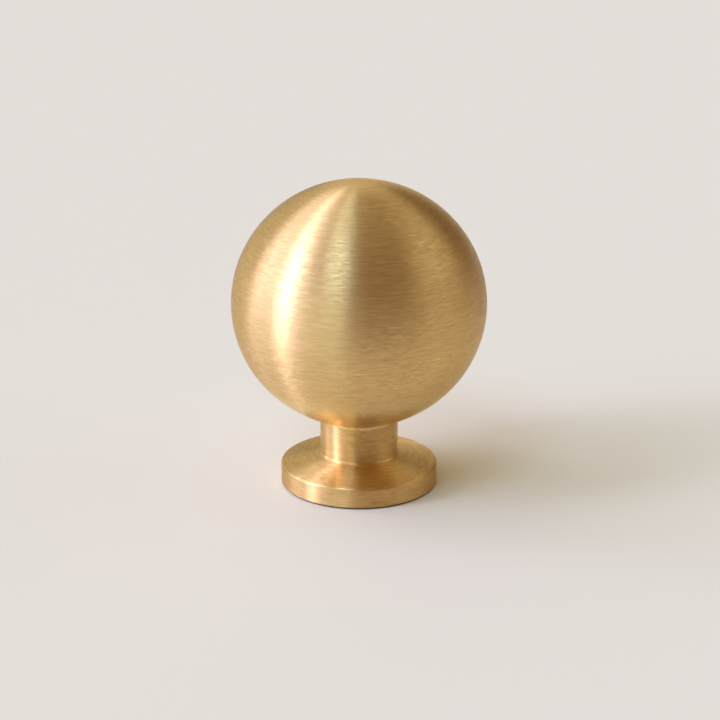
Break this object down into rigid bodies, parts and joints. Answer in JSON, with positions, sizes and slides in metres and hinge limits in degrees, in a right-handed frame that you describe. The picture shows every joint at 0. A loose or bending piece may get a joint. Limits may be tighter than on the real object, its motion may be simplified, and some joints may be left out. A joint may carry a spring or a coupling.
{
  "type": "cabinet knob",
  "caption": "Ball-shaped knob for a cabinet door or drawer, turned in solid brushed brass on a short neck and round base, with a tapped hole underneath for the fixing screw.",
  "frame": {"origin": "centre of the underside of the base, where it sits on the door", "axes": "+Z along the turning axis, from the base out to the top of the ball; X and Y lie in the plane of the door"},
  "size_m": [0.032, 0.032, 0.0393],
  "materials": {
    "brass": "satin brushed, fine lines round the turning axis"
  },
  "bodies": {
    "root": {"knob": "brass"}
  },
  "joints": []
}
